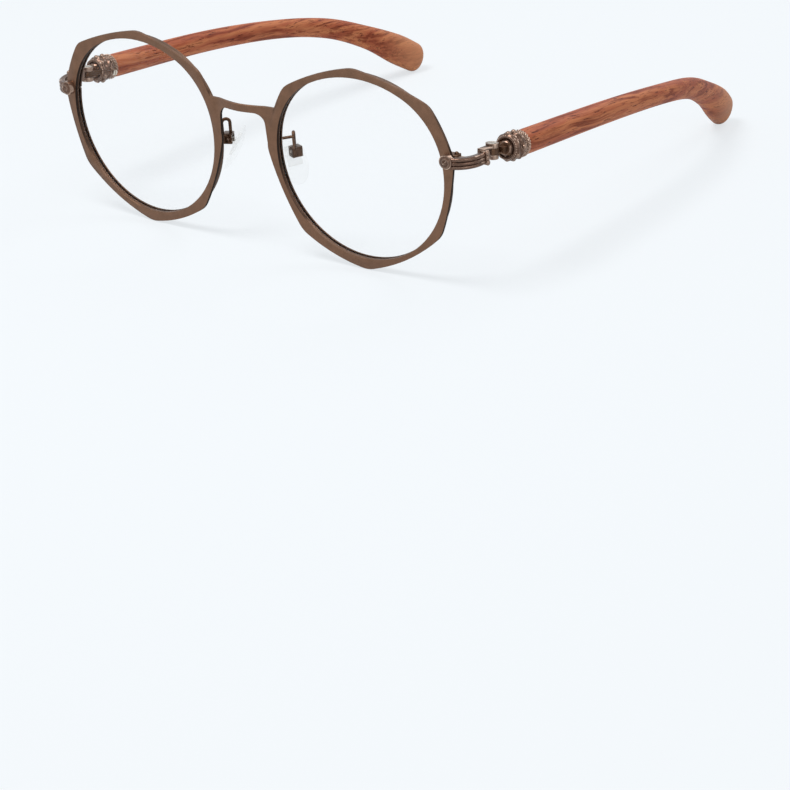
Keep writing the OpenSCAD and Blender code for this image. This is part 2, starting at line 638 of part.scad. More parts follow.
// Bent wire: a level strand from the eyewire to the shoulder of a loop that stands on the box
module pad_arm(side) {
    roof = box_z + box_h / 2 + seat;
    leg = [box_x + leg_at[0] * cos(pad_splay) + leg_at[1] * sin(pad_splay),
        box_y - leg_at[0] * sin(pad_splay) + leg_at[1] * cos(pad_splay)];
    // The far leg stands back along the loop's direction, and the strand reaches it from the eyewire's rear
    far = leg - 2 * loop_r * [cos(loop_turn), sin(loop_turn)];
    start = [lens_x - (half_w + 0.3) * cos(wrap_angle),
        eyewire_out - (half_w + 0.3) * sin(wrap_angle) + strand_r + seat];
    run = far - start;
    color(dark_bronze) on_side(side) {
        translate([(leg[0] + far[0]) / 2, (leg[1] + far[1]) / 2, roof + loop_rise]) rotate([90, 0, loop_turn]) {
            rotate_extrude(angle = 180, $fn = fine) translate([loop_r, 0]) circle(r = wire_r, $fn = fine);
            for (k = [-1, 1]) translate([k * loop_r, 0, 0]) rotate([90, 0, 0])
                cylinder(r = wire_r, h = loop_rise, $fn = fine);
        }
        translate([start[0], start[1], roof + loop_rise + strand_up]) rotate([0, 0, atan2(run[1], run[0])])
            rotate([0, 90, 0]) cylinder(r = strand_r, h = norm(run), $fn = fine);
    }
}

// Small block, hollow towards the nose and below, with a cheek either side of the pad's tongue
module pad_box(side) {
    color(dark_bronze) on_side(side) box_frame() difference() {
        translate([box_x0, -box_half_w, -box_h / 2]) cube([box_x1 - box_x0, 2 * box_half_w, box_h]);
        translate([box_x0 - 1, -tongue_half_w - face_gap, -box_h])
            cube([1 - box_x0 + pad_pin_x + tongue_r + face_gap, 2 * (tongue_half_w + face_gap),
                1.5 * box_h - box_roof]);
        translate([pad_pin_x, -3, 0]) rotate([-90, 0, 0]) cylinder(r = pad_screw_r + seat, h = 6, $fn = fine);
    }
}

module pad_screws() {
    color(bright_steel) for (side = [-1, 1]) on_side(side) box_frame() translate([pad_pin_x, 0, 0]) difference() {
        union() {
            translate([0, -box_half_w, 0]) rotate([-90, 0, 0])
                cylinder(r = pad_screw_r, h = 2 * box_half_w + 0.2, $fn = fine);
            translate([0, box_half_w + seat, 0]) rotate([-90, 0, 0]) cylinder(r = 0.7, h = 0.45, $fn = fine);
        }
        translate([-1, box_half_w + 0.25, -0.12]) cube([2, 0.5, 0.24]);
    }
}

// Soft clear pad, domed on the side that meets the nose, with a pocket for its core
module nose_pad(side) {
    dome_r = 26;
    back_x = box_x0 - pad_off;
    color(clear) on_side(side) pad_frame() difference() {
        translate([back_x, 0, -pad_sink]) intersection() {
            rotate([0, -90, 0]) linear_extrude(pad_t) polygon([for (i = [0 : 47])
                [pad_h / 2 * cos(7.5 * i), pad_w / 2 * sin(7.5 * i)]]);
            translate([dome_r - pad_t, 0, 0]) sphere(dome_r, $fn = 200);
        }
        translate([back_x - core_t - seat, -core_w / 2 - seat, core_low - seat])
            cube([core_t + 1, core_w + 2 * seat, core_h + 2 * seat]);
    }
}

// Hard plate inside the pad and the tongue that the screw goes through
module pad_core(side) {
    back_x = box_x0 - pad_off;
    color(clear) on_side(side) pad_frame() difference() {
        union() {
            translate([back_x - core_t, -core_w / 2, core_low]) cube([core_t, core_w, core_h]);
            translate([back_x - 0.1, -tongue_half_w, -tongue_r])
                cube([0.1 - back_x + pad_pin_x, 2 * tongue_half_w, 2 * tongue_r]);
            translate([pad_pin_x, tongue_half_w, 0]) rotate([90, 0, 0])
                cylinder(r = tongue_r, h = 2 * tongue_half_w, $fn = fine);
        }
        translate([pad_pin_x, 3, 0]) rotate([90, 0, 0]) cylinder(r = pad_screw_r + run_gap, h = 6, $fn = fine);
    }
}

front_plate();
eyewire(1);  // eyewire_left
eyewire(-1);  // eyewire_right
lens(1);  // lens_left
lens(-1);  // lens_right
rim_lock(1);  // rim_lock_left
rim_lock(-1);  // rim_lock_right
rim_lock_screws();
end_piece(1);  // end_piece_left
end_piece(-1);  // end_piece_right
hinge_screws();
pad_arm(1);  // pad_arm_left
pad_arm(-1);  // pad_arm_right
pad_box(1);  // pad_box_left
pad_box(-1);  // pad_box_right
pad_screws();
nose_pad(1);  // nose_pad_left
nose_pad(-1);  // nose_pad_right
pad_core(1);  // pad_core_left
pad_core(-1);  // pad_core_right
hinge_leaf(1);  // hinge_leaf_left
hinge_leaf(-1);  // hinge_leaf_right
ferrule(1);  // ferrule_left
ferrule(-1);  // ferrule_right
ferrule_screw(1);  // ferrule_screw_left
ferrule_screw(-1);  // ferrule_screw_right
rope_ring(1);  // rope_ring_left
rope_ring(-1);  // rope_ring_right
core_wire(1);  // core_wire_left
core_wire(-1);  // core_wire_right
wooden_temple(1);  // wooden_temple_left
wooden_temple(-1);  // wooden_temple_right
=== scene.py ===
import math
import bpy
import bmesh
from mathutils import Matrix, Vector


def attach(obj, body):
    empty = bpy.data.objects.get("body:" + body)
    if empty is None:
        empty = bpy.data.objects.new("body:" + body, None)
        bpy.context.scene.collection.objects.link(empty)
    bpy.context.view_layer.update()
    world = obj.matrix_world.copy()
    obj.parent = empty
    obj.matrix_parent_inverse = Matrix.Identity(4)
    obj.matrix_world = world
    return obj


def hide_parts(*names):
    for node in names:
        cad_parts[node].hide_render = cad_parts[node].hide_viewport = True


# Eyeglasses with eight-sided bronze rims and wooden temples
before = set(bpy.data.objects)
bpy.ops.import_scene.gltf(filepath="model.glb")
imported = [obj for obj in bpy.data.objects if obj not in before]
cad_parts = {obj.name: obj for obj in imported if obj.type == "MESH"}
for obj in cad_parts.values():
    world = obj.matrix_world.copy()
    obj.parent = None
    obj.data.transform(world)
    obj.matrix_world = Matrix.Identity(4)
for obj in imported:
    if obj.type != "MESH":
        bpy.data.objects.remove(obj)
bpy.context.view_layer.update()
print("frame loaded")

# Where the pair stands: the same sizes as in the part's drawing, in mm and degrees
place = {
    "lensX": 34.85, "lensZ": 25.8323, "lean": 1.61993, "originY": 70.5374,
    "wrap": 2.5, "drop": 6.8,
    "pinX": 31.2, "hingeY": 11.3, "hingeZ": 5.9, "templeOut": 1.2,
}


def turn(axis, degrees):
    return Matrix.Rotation(math.radians(degrees), 4, axis)


def shift(x, y, z):
    return Matrix.Translation((x, y, z))


# Drawing mm to the standing frame in metres; side -1 is the wearer's right
def standing(side):
    lean = place["lean"]
    stand = shift(0, -place["originY"], place["lensZ"] * math.cos(math.radians(lean))) @ turn("X", lean)
    return Matrix.Scale(0.001, 4) @ Matrix.Diagonal((side, 1, 1, 1)) @ stand


def rimSpace(side):
    return standing(side) @ shift(place["lensX"], 0, 0) @ turn("Z", place["wrap"])


# On the temple's own line beside the hinge pin, +Y along the temple
def templeSpace(side):
    hinge = shift(place["pinX"], place["hingeY"], place["hingeZ"]) @ turn("X", -place["drop"])
    return rimSpace(side) @ hinge @ turn("Z", -place["wrap"]) @ shift(place["templeOut"], 0, 0)


sides = {"left": 1, "right": -1}


# Colours are written as sRGB hex and used as linear
def colour(hexCode):
    parts = [int(hexCode[i:i + 2], 16) / 255 for i in (1, 3, 5)]
    return [c / 12.92 if c <= 0.04045 else ((c + 0.055) / 1.055) ** 2.4 for c in parts] + [1.0]


# One node with its settings, values and links
def add(tree, kind, settings=None, values=None, links=None):
    node = tree.nodes.new(kind)
    for name, value in (settings or {}).items():
        setattr(node, name, value)
    for name, value in (values or {}).items():
        node.inputs[name].default_value = value
    for name, socket in (links or {}).items():
        tree.links.new(socket, node.inputs[name])
    return node


def newMaterial(name):
    made = bpy.data.materials.new(name)
    made.use_nodes = True
    tree = made.node_tree
    tree.nodes.clear()
    return made, tree


# A colour ramp; each stop is a place with a grey level or a colour
def ramp(tree, factor, stops):
    node = add(tree, "ShaderNodeValToRGB", links={"Fac": factor})
    while len(node.color_ramp.elements) < len(stops):
        node.color_ramp.elements.new(0.5)
    for element, (at, value) in zip(node.color_ramp.elements, stops):
        element.position = at
        element.color = value if isinstance(value, list) else [value, value, value, 1]
    return node.outputs[0]


def noise(tree, vector, values):
    return add(tree, "ShaderNodeTexNoise", values=values, links={"Vector": vector})


# A colour mixed into a base colour by a factor
def tinted(tree, base, factor, hexCode):
    node = add(tree, "ShaderNodeMix", {"data_type": "RGBA"}, {"B": colour(hexCode)},
               {"Factor": factor, "A": base})
    return node.outputs["Result"]


# A value from 0 to 1 spread over a range
def ranged(tree, value, low, high):
    node = add(tree, "ShaderNodeMapRange", values={"To Min": low, "To Max": high}, links={"Value": value})
    return node.outputs[0]


def maths(tree, operation, values, links):
    return add(tree, "ShaderNodeMath", {"operation": operation}, values, links).outputs[0]


def finishShader(tree, shader):
    add(tree, "ShaderNodeOutputMaterial", links={"Surface": shader.outputs[0]})


def finishPrincipled(tree, values, links):
    finishShader(tree, add(tree, "ShaderNodeBsdfPrincipled", values=values, links=links))


# The object's own coordinates in mm, turned about X by an angle in degrees
def coordsInMm(tree, coord, degrees=0.0):
    values = {"Scale": (1000, 1000, 1000), "Rotation": (math.radians(degrees), 0, 0)}
    node = add(tree, "ShaderNodeMapping", values=values, links={"Vector": coord.outputs["Object"]})
    return node.outputs[0]


# Bronze plated steel, satin: a warm brown metal whose polish changes a little from place to place
plated = {
    # Patches of polish about 3 mm across
    "patch": {"Scale": 0.4, "Detail": 5.0, "Roughness": 0.65}, "faceAt": 0.32, "deepAt": 0.7,
    # Satin grit about 0.15 mm across, drawn coarser than the real 0.02 mm so that it shows
    "grit": {"Scale": 6.5, "Detail": 2.0, "Roughness": 0.7}, "specks": [(0.42, 0.0), (0.75, 0.32)],
    # By pointiness: edges rub bright and hollows stay dark
    "edgeFrom": 0.51, "edgeTo": 0.62, "hollows": [(0.4, 0.85), (0.49, 0.0)],
    # By normal: painted shade darkens the side walls, less on walls that face up, as if lit from above; the
    # shaded walls are also rougher and less metallic
    "sideShadeFrom": 0.5, "sideShadeTo": 0.9, "litFromAbove": [(0.1, 1.0), (0.65, 0.3)],
    "smoother": 0.06, "rougher": 0.1, "shadedWallRougher": 0.3, "metallic": 0.92, "shadedWallLessMetallic": -0.6,
    "bump": {"Strength": 0.25, "Distance": 0.00003}, "specular": 0.2,
}


def bronzeMaterial(name, tones):
    made, tree = newMaterial(name)
    coord = add(tree, "ShaderNodeTexCoord")
    inMm = coordsInMm(tree, coord)
    patch = noise(tree, inMm, plated["patch"]).outputs["Fac"]
    grit = noise(tree, inMm, plated["grit"]).outputs["Fac"]
    pointed = add(tree, "ShaderNodeNewGeometry").outputs["Pointiness"]
    tone = ramp(tree, patch, [(plated["faceAt"], colour(tones["face"])),
                              (plated["deepAt"], colour(tones["deep"]))])
    edge = ramp(tree, pointed, [(plated["edgeFrom"], 0.0), (plated["edgeTo"], tones["wear"])])
    # Painted shade by normal: side walls, which face neither front nor back, are darkened towards the shade
    # colour, and less where they face up, as if lit from above
    facing = add(tree, "ShaderNodeSeparateXYZ", links={"Vector": coord.outputs["Normal"]})
    flat = maths(tree, "ABSOLUTE", {}, {0: facing.outputs["Y"]})
    sideShade = ramp(tree, flat, [(plated["sideShadeFrom"], tones["wall"]), (plated["sideShadeTo"], 0.0)])
    wall = maths(tree, "MULTIPLY", {}, {0: sideShade, 1: ramp(tree, facing.outputs["Z"], plated["litFromAbove"])})
    specked = tinted(tree, tone, ramp(tree, grit, plated["specks"]), tones["worn"])
    worn = tinted(tree, specked, edge, tones["worn"])
    darkened = tinted(tree, worn, ramp(tree, pointed, plated["hollows"]), tones["hollow"])
    walled = tinted(tree, darkened, wall, tones["shade"])
    polish = ranged(tree, patch, tones["rough"] - plated["smoother"], tones["rough"] + plated["rougher"])
    # The painted shade also makes those walls rougher and less metallic, so that they look darker
    dulled = maths(tree, "MULTIPLY_ADD", {1: plated["shadedWallRougher"]}, {0: wall, 2: polish})
    metallic = maths(tree, "MULTIPLY_ADD", {1: plated["shadedWallLessMetallic"], 2: plated["metallic"]}, {0: wall})
    bump = add(tree, "ShaderNodeBump", values=plated["bump"], links={"Height": grit})
    links = {"Base Color": walled, "Roughness": dulled, "Metallic": metallic, "Normal": bump.outputs[0]}
    finishPrincipled(tree, {"Specular IOR Level": plated["specular"]}, links)
    return made


# Turned and polished steel of small screws: bright, with fine turning marks
screwSteel = {
    "marks": {"Scale": 6000.0, "Detail": 2.0}, "smoothest": 0.16, "roughest": 0.3,
    "pale": "#d8d0c4", "paleAt": 0.3, "deep": "#b5aa9c", "deepAt": 0.7,
}


def screwMaterial():
    made, tree = newMaterial("polishedScrewSteel")
    coord = add(tree, "ShaderNodeTexCoord")
    marks = noise(tree, coord.outputs["Object"], screwSteel["marks"]).outputs["Fac"]
    tone = ramp(tree, marks, [(screwSteel["paleAt"], colour(screwSteel["pale"])),
                              (screwSteel["deepAt"], colour(screwSteel["deep"]))])
    polish = ranged(tree, marks, screwSteel["smoothest"], screwSteel["roughest"])
    finishPrincipled(tree, {"Metallic": 1.0}, {"Base Color": tone, "Roughness": polish})
    return made


# Oiled reddish hardwood, sawn and sanded, with fine grain along the temple's straight run
wood = {
    "light": "#b46e48", "mid": "#9a5034", "dark": "#78341f",
    "pore": "#4f1a0c", "stripe": "#6b2813", "tip": "#c08862",
    # The grain's slope in degrees, and how far it wanders, in mm
    "slope": 5.3, "wander": {"Scale": 0.045, "Detail": 2.0}, "wanderMm": 3.0,
    # Noises drawn out along the grain: changes in a mm across and along it, and where they start
    "bands": {"perMm": (1 / 2.2, 0.022), "start": (0, 0, 0),
              "noise": {"Scale": 1.0, "Detail": 5.0, "Roughness": 0.62}},
    "pores": {"perMm": (1 / 0.32, 0.16), "start": (0, 0, 0),
              "noise": {"Scale": 1.0, "Detail": 3.0, "Roughness": 0.7}},
    "streaks": {"perMm": (0.9, 0.03), "start": (4.0, 2.0, 7.0),
                "noise": {"Scale": 1.0, "Detail": 2.0}},
    "bandTones": [(0.28, "dark"), (0.45, "mid"), (0.6, "light"), (0.78, "mid")],
    "poreStops": [(0.36, 1.0), (0.43, 0.0)], "streakStops": [(0.54, 0.0), (0.64, 0.75)],
    # The tips are sanded paler: from and to a place along the pair in metres
    "tipFrom": 0.052, "tipTo": 0.072, "tipPale": 0.62,
    "smoothest": 0.42, "roughest": 0.62, "bump": {"Strength": 0.25, "Distance": 0.00006},
    "ior": 1.47, "specular": 0.13,
}


def grainNoise(tree, grain, kind):
    across, along = kind["perMm"]
    values = {"Scale": (across, along, across), "Location": kind["start"]}
    stretched = add(tree, "ShaderNodeMapping", values=values, links={"Vector": grain})
    return noise(tree, stretched.outputs[0], kind["noise"]).outputs["Fac"]


def woodMaterial():
    made, tree = newMaterial("oiledRosewood")
    coord = add(tree, "ShaderNodeTexCoord")
    sloped = coordsInMm(tree, coord, wood["slope"])
    wander = noise(tree, sloped, wood["wander"])
    bent = add(tree, "ShaderNodeVectorMath", {"operation": "MULTIPLY_ADD"},
               {1: (wood["wanderMm"], 0.0, wood["wanderMm"])}, {0: wander.outputs["Color"], 2: sloped})
    bands = grainNoise(tree, bent.outputs[0], wood["bands"])
    pores = ramp(tree, grainNoise(tree, bent.outputs[0], wood["pores"]), wood["poreStops"])
    streaks = ramp(tree, grainNoise(tree, bent.outputs[0], wood["streaks"]), wood["streakStops"])
    banded = ramp(tree, bands, [(at, colour(wood[tone])) for at, tone in wood["bandTones"]])
    striped = tinted(tree, banded, streaks, wood["stripe"])
    pored = tinted(tree, striped, pores, wood["pore"])
    along = add(tree, "ShaderNodeSeparateXYZ", links={"Vector": coord.outputs["Object"]})
    tip = add(tree, "ShaderNodeMapRange", {"interpolation_type": "SMOOTHSTEP"},
              {"From Min": wood["tipFrom"], "From Max": wood["tipTo"], "To Max": wood["tipPale"]},
              {"Value": along.outputs["Y"]})
    paled = tinted(tree, pored, tip.outputs[0], wood["tip"])
    height = maths(tree, "SUBTRACT", {}, {0: bands, 1: pores})
    bump = add(tree, "ShaderNodeBump", values=wood["bump"], links={"Height": height})
    polish = ranged(tree, bands, wood["smoothest"], wood["roughest"])
    finishPrincipled(tree, {"IOR": wood["ior"], "Specular IOR Level": wood["specular"]},
                     {"Base Color": paled, "Roughness": polish, "Normal": bump.outputs[0]})
    return made


# Clear cast lens plastic, polished: nearly invisible, with a soft reflection
lensPlastic = {
    "haze": {"Scale": 60.0, "Detail": 1.0}, "smoothest": 0.01, "roughest": 0.04,
    "tint": "#c4d0d6", "ior": 1.5, "alpha": 0.01,
}


def lensMaterial():
    made, tree = newMaterial("clearLensPlastic")
    coord = add(tree, "ShaderNodeTexCoord")
    haze = noise(tree, coord.outputs["Object"], lensPlastic["haze"]).outputs["Fac"]
    polish = ranged(tree, haze, lensPlastic["smoothest"], lensPlastic["roughest"])
    finishPrincipled(tree, {"Base Color": colour(lensPlastic["tint"]), "IOR": lensPlastic["ior"],
                            "Alpha": lensPlastic["alpha"]}, {"Roughness": polish})
    made.surface_render_method = "BLENDED"
    return made


# Moulded clear silicone or hard plastic, slightly cloudy in places
moulded = {
    "cloud": {"Scale": 420.0, "Detail": 3.0}, "tintAt": 0.35, "clearAt": 0.7, "clear": "#ffffff",
    "rougher": 0.12, "ior": 1.43,
}
padLooks = {
    "silicone": {"tint": "#e6e9e2", "alpha": 0.07, "rough": 0.2},
    "core": {"tint": "#d6d2bd", "alpha": 0.12, "rough": 0.12},
}


def padMaterial(name, look):
    made, tree = newMaterial(name)
    coord = add(tree, "ShaderNodeTexCoord")
    cloud = noise(tree, coord.outputs["Object"], moulded["cloud"]).outputs["Fac"]
    tone = ramp(tree, cloud, [(moulded["tintAt"], colour(look["tint"])),
                              (moulded["clearAt"], colour(moulded["clear"]))])
    polish = ranged(tree, cloud, look["rough"], look["rough"] + moulded["rougher"])
    finishPrincipled(tree, {"IOR": moulded["ior"], "Alpha": look["alpha"]},
                     {"Base Color": tone, "Roughness": polish})
    made.surface_render_method = "BLENDED"
    return made


# Platings: their colours, roughness, how bright their edges wear, and how strong the painted shade on their
# side walls is
metalTones = {
    "plate": {"face": "#70503e", "deep": "#523a2c", "worn": "#977660",
              "hollow": "#120a07", "shade": "#1a0f09", "wear": 0.35, "wall": 0.95, "rough": 0.42},
    "wire": {"face": "#5a3e2e", "deep": "#38241a", "worn": "#9c7a60",
             "hollow": "#120a06", "shade": "#1d110b", "wear": 0.6, "wall": 0.4, "rough": 0.36},
    "cast": {"face": "#5e4336", "deep": "#352018", "worn": "#cdb19e",
             "hollow": "#0f0604", "shade": "#0f0604", "wear": 0.95, "wall": 0.0, "rough": 0.27},
    "box": {"face": "#452d21", "deep": "#24160f", "worn": "#a5856c",
            "hollow": "#0c0503", "shade": "#0c0503", "wear": 0.12, "wall": 0.0, "rough": 0.24},
}
bronze = bronzeMaterial("satinBronzePlating", metalTones["plate"])
darkBronze = bronzeMaterial("darkBronzePlating", metalTones["wire"])
castBronze = bronzeMaterial("castBronzePlating", metalTones["cast"])
boxBronze = bronzeMaterial("padBoxPlating", metalTones["box"])
steel = screwMaterial()
rosewood = woodMaterial()
lensClear = lensMaterial()
silicone = padMaterial("clearPadSilicone", padLooks["silicone"])
padPlastic = padMaterial("clearCorePlastic", padLooks["core"])
print("materials made")


def dress(obj, material):
    obj.data.materials.clear()
    obj.data.materials.append(material)


# A new piece from a finished bmesh whose points are already in their place
def newPiece(name, mesh, material, body, replaced):
    data = bpy.data.meshes.new(name)
    mesh.to_mesh(data)
    mesh.free()
    obj = bpy.data.objects.new(name, data)
    bpy.context.scene.collection.objects.link(obj)
    dress(obj, material)
    for face in data.polygons:
        face.use_smooth = True
    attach(obj, body)
    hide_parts(*replaced)
    return obj


# Edges that turn by more than the angle stay sharp in the shading
smoothUnder = {"metal": 34, "endPiece": 40, "cast": 46, "wood": 50}


def smoothByAngle(obj, degrees):
    mesh = bmesh.new()
    mesh.from_mesh(obj.data)
    limit = math.radians(degrees)
    for edge in mesh.edges:
        edge.smooth = len(edge.link_faces) == 2 and edge.calc_face_angle(0) < limit
    for face in mesh.faces:
        face.smooth = True
    mesh.to_mesh(obj.data)
    mesh.free()


# How a solid's mesh is joined and its edges broken: a distance in metres, and angles in degrees
breaking = {"joinWithin": 2e-6, "flatWithin": 0.6, "sharpOver": 32, "segments": 2}


# A copy of a solid with its doubles merged, flat faces joined and its edges broken
def softened(node, name, material, body, width):
    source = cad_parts[node]
    mesh = bmesh.new()
    mesh.from_mesh(source.data)
    bmesh.ops.remove_doubles(mesh, verts=mesh.verts, dist=breaking["joinWithin"])
    bmesh.ops.dissolve_limit(mesh, angle_limit=math.radians(breaking["flatWithin"]), verts=mesh.verts,
                             edges=mesh.edges)
    obj = newPiece(name, mesh, material, body, [node])
    edge = obj.modifiers.new("brokenEdges", "BEVEL")
    edge.width = width
    edge.segments = breaking["segments"]
    edge.limit_method = "ANGLE"
    edge.angle_limit = math.radians(breaking["sharpOver"])
    edge.miter_outer = "MITER_ARC"
    applyModifiers(obj)
    smoothByAngle(obj, smoothUnder["metal"])
    return obj


def applyModifiers(obj):
    bpy.context.view_layer.update()
    solid = bpy.data.meshes.new_from_object(obj.evaluated_get(bpy.context.evaluated_depsgraph_get()))
    obj.modifiers.clear()
    obj.data = solid


# Faces between rings of points; a ring of one point is a tip
def stitch(mesh, loops):
    for first, second in zip(loops, loops[1:]):
        count = max(len(first), len(second))
        for j in range(count):
            k = (j + 1) % count
            start = [first[j % len(first)], first[k % len(first)]]
            end = [second[k % len(second)], second[j % len(second)]]
            mesh.faces.new(list(dict.fromkeys(start + end)))


# A power that keeps the sign, for ovals squarer or rounder than an ellipse
def signedPower(value, power):
    return math.copysign(abs(value) ** power, value)


# Wooden temples: stations along the temple, in mm from the rope ring
temple = {
    "start": 10.0,
    "along": [0, 39, 68, 87.5, 102, 113, 119.5],
    "height": [0, 0.3, -0.9, -3.4, -8.0, -13.0, -16.3],
    "outward": [0, -0.3, -2.1, -5.3, -8.7, -11.4, -13.2],
    "halfHeight": [3.1, 2.9, 2.7, 2.9, 3.4, 4.5, 4.4],
    "halfWidth": [3.0, 2.6, 2.35, 2.35, 2.5, 2.9, 2.9],
    "cap": 3.4, "capDegrees": 88, "squareness": 0.92, "ringsEach": 10, "capRings": 10, "sides": 56,
    # The wood's front edge is rounded over against the rope ring, by a share of its size over a length in mm
    "frontEase": 0.045, "frontRound": 0.8,
}


# Centre and half sizes at a station
def station(i):
    j = min(max(i, 0), len(temple["along"]) - 1)
    centre = Vector((temple["outward"][j], temple["start"] + temple["along"][j], temple["height"][j]))
    return centre, Vector((temple["halfHeight"][j], temple["halfWidth"][j]))


# The same at a share t of the way to the next station, on a smooth curve through the stations
def smoothRun(i, t):
    around = (station(i - 1), station(i), station(i + 1), station(i + 2))
    return [0.5 * (2 * b + (c - a) * t + (2 * a - 5 * b + 4 * c - d) * t * t
                   + (3 * b - a - 3 * c + d) * t ** 3)
            for a, b, c, d in zip(*around)]


# Rings along the temple and over its rounded end, and how many come before the end
def templeRings():
    last = len(temple["along"]) - 1
    rings = [smoothRun(i, k / temple["ringsEach"]) for i in range(last) for k in range(temple["ringsEach"])]
    rings.append(list(station(last)))
    centre, size = rings[-1]
    heading = (centre - rings[-2][0]).normalized()
    for k in range(1, temple["capRings"] + 1):
        angle = math.radians(temple["capDegrees"] * k / temple["capRings"])
        rings.append([centre + heading * temple["cap"] * math.sin(angle), size * math.cos(angle)])
    return rings, last * temple["ringsEach"]


def buildTemple(name, side):
    rings, runLength = templeRings()
    space = templeSpace(side)
    mesh = bmesh.new()
    loops = []
    for i, (centre, size) in enumerate(rings):
        a = rings[max(min(i, runLength) - 1, 0)][0]
        b = rings[min(i + 1, runLength)][0]
        step = b - a if i else Vector((0, 1, 0))
        slope = math.atan2(step.z, step.y)
        lean = math.atan2(step.x, step.y)
        fromFront = (centre.y - temple["start"]) / temple["frontRound"]
        ease = 1 - temple["frontEase"] * max(0, 1 - fromFront) if i < runLength else 1
        loop = []
        for j in range(temple["sides"]):
            angle = 2 * math.pi * j / temple["sides"]
            up = size.x * ease * signedPower(math.sin(angle), temple["squareness"])
            out = size.y * ease * signedPower(math.cos(angle), temple["squareness"])
            point = Vector((centre.x + out * math.cos(lean),
                            centre.y - up * math.sin(slope) - out * math.sin(lean),
                            centre.z + up * math.cos(slope)))
            loop.append(mesh.verts.new(space @ point))
        loops.append(loop)
    stitch(mesh, loops)
    mesh.faces.new(list(reversed(loops[0])))
    mesh.faces.new(loops[-1])
    bmesh.ops.recalc_face_normals(mesh, faces=mesh.faces)
    piece = newPiece("woodenTemple_" + name, mesh, rosewood, "temple_" + name,
                     ["wooden_temple_" + name])
    smoothByAngle(piece, smoothUnder["wood"])


for name, side in sides.items():
    buildTemple(name, side)
print("temples made")


# Lumps set round a ring about Z, in mm: rope strands and cast beads
def lumpRingTree():
    tree = bpy.data.node_groups.new("lumpRing", "GeometryNodeTree")
    for name, kind in (("Ring Radius", "Float"), ("Count", "Int"), ("Length", "Float"), ("Rise", "Float"),
                       ("Width", "Float"), ("Slant", "Float"), ("Finish", "Material")):
        tree.interface.new_socket(name, in_out="INPUT", socket_type="NodeSocket" + kind)
    tree.interface.new_socket("Geometry", in_out="OUTPUT", socket_type="NodeSocketGeometry")
    given = add(tree, "NodeGroupInput")
    ring = add(tree, "GeometryNodeCurvePrimitiveCircle", {"mode": "RADIUS"}, {},
               {"Resolution": given.outputs["Count"], "Radius": given.outputs["Ring Radius"]})
    along = add(tree, "GeometryNodeInputTangent")
    turned = add(tree, "FunctionNodeAlignRotationToVector", {"axis": "X", "pivot_axis": "Z"}, {},
                 {"Vector": along.outputs[0]})
    slant = add(tree, "ShaderNodeCombineXYZ", links={"Y": given.outputs["Slant"]})
    slanted = add(tree, "FunctionNodeEulerToRotation", links={0: slant.outputs[0]})
    both = add(tree, "FunctionNodeRotateRotation", {"rotation_space": "LOCAL"}, {},
               {0: turned.outputs[0], 1: slanted.outputs[0]})
    lump = add(tree, "GeometryNodeMeshUVSphere", values={"Segments": 12, "Rings": 8, "Radius": 0.5})
    size = add(tree, "ShaderNodeCombineXYZ", links={"X": given.outputs["Length"], "Y": given.outputs["Rise"],
                                                    "Z": given.outputs["Width"]})
    spread = add(tree, "GeometryNodeInstanceOnPoints", links={
        "Points": ring.outputs[0], "Instance": lump.outputs[0],
        "Rotation": both.outputs[0], "Scale": size.outputs[0]})
    real = add(tree, "GeometryNodeRealizeInstances", links={0: spread.outputs[0]})
    finish = add(tree, "GeometryNodeSetMaterial", links={"Geometry": real.outputs[0],
                                                         "Material": given.outputs["Finish"]})
    add(tree, "NodeGroupOutput", links={"Geometry": finish.outputs[0]})
    return tree


lumpRing = lumpRingTree()


# The ring's mesh with its sizes given, set round the temple's line at its place along it
def lumpsRound(space, lumps):
    host = bpy.data.objects.new("ringHost", bpy.data.meshes.new("ringHost"))
    bpy.context.scene.collection.objects.link(host)
    maker = host.modifiers.new("lumpRing", "NODES")
    maker.node_group = lumpRing
    given = {"Ring Radius": lumps["radius"], "Count": lumps["count"], "Length": lumps["length"],
             "Rise": lumps["rise"], "Width": lumps["width"], "Slant": math.radians(lumps["slant"]),
             "Finish": castBronze}
    for socket in lumpRing.interface.items_tree:
        if socket.in_out == "INPUT":
            maker[socket.identifier] = given[socket.name]
    bpy.context.view_layer.update()
    made = bpy.data.meshes.new_from_object(host.evaluated_get(bpy.context.evaluated_depsgraph_get()))
    bpy.data.objects.remove(host)
    made.transform(space @ shift(0, lumps["along"], 0) @ turn("X", 90))
    return made


# Adds a shape of revolution about +Y from a list of (radius, place along)
# relief(angle, along) is added to the radius
def lathe(mesh, space, profile, count, relief=None):
    loops = []
    for radius, along in profile:
        ring = []
        for j in range(count if radius > 0 else 1):
            angle = 2 * math.pi * j / count
            r = radius + (relief(angle, along) if relief and radius > 0 else 0)
            ring.append(mesh.verts.new(space @ Vector((r * math.cos(angle), along, r * math.sin(angle)))))
        loops.append(ring)
    stitch(mesh, loops)


# Points in even steps between those of a profile
def finer(profile, each):
    points = []
    for (r0, s0), (r1, s1) in zip(profile, profile[1:]):
        points += [(r0 + (r1 - r0) * k / each, s0 + (s1 - s0) * k / each) for k in range(each)]
    return points + [profile[-1]]


